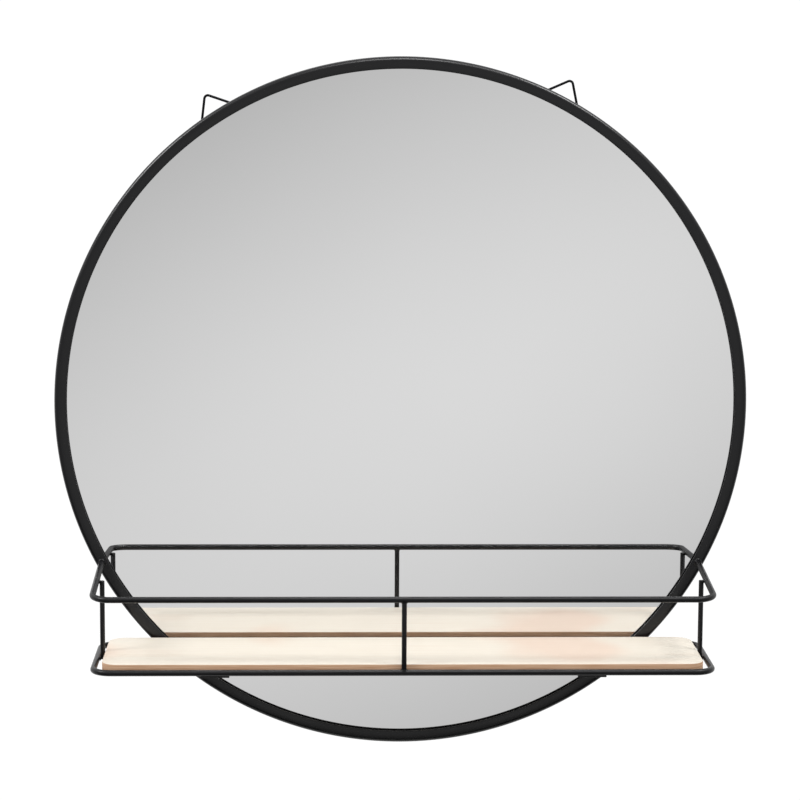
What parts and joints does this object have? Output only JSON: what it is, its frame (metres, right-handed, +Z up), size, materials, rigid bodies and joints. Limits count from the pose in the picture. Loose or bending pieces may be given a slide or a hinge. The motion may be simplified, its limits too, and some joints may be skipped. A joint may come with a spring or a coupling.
{
  "type": "mirror with shelf",
  "caption": "Round wall mirror in a slim black metal frame, with a wire basket shelf and pale wooden board across its lower part.",
  "frame": {"origin": "on the wall plane, straight behind the centre of the round mirror", "axes": "+Y into the wall, so the mirror looks along -Y; +Z up; +X to the right as seen from the front"},
  "size_m": [0.6, 0.1304, 0.6],
  "materials": {
    "powder_coat": "satin near-black powder coat on steel",
    "silvered_glass": "polished, silvered behind",
    "hardboard": "raw brown fibreboard",
    "veneer": "pale matt veneer on board with tan edges",
    "black_wire": "blackened steel wire",
    "zinc": "zinc plated",
    "rubber": "matt moulded rubber"
  },
  "bodies": {
    "mirror": {"ring_frame": "powder_coat", "mirror_glass": "silvered_glass", "back_panel": "hardboard", "fixing_tab_1": "powder_coat", "fixing_tab_screw_1": "zinc", "fixing_tab_2": "powder_coat", "fixing_tab_screw_2": "zinc", "fixing_tab_3": "powder_coat", "fixing_tab_screw_3": "zinc", "fixing_tab_4": "powder_coat", "fixing_tab_screw_4": "zinc", "fixing_tab_5": "powder_coat", "fixing_tab_screw_5": "zinc", "fixing_tab_6": "powder_coat", "fixing_tab_screw_6": "zinc", "top_rail": "powder_coat", "bottom_ring": "powder_coat", "upright_centre": "powder_coat", "upright_left": "powder_coat", "upright_right": "powder_coat", "shelf_board": "veneer", "cross_strap_left": "powder_coat", "board_screw_left_front": "zinc", "board_screw_left_rear": "zinc", "cross_strap_right": "powder_coat", "board_screw_right_front": "zinc", "board_screw_right_rear": "zinc", "hanger_strap_left": "zinc", "hanger_screw_left": "zinc", "bumper_left": "rubber", "hanger_strap_right": "zinc", "hanger_screw_right": "zinc", "bumper_right": "rubber"},
    "left_hanger": {"hanger_ring_left": "black_wire"},
    "right_hanger": {"hanger_ring_right": "black_wire"}
  },
  "joints": [
    {"name": "left_hanger_swing", "type": "hinge", "parent": "mirror", "child": "left_hanger", "pos_m": [-0.15716, -0.0027, 0.24764], "axis": [-0.8443, 0, -0.5358], "range_deg": [0, 180]},
    {"name": "right_hanger_swing", "type": "hinge", "parent": "mirror", "child": "right_hanger", "pos_m": [0.13498, -0.0027, 0.2604], "axis": [-0.8878, 0, 0.4602], "range_deg": [0, 180]}
  ]
}
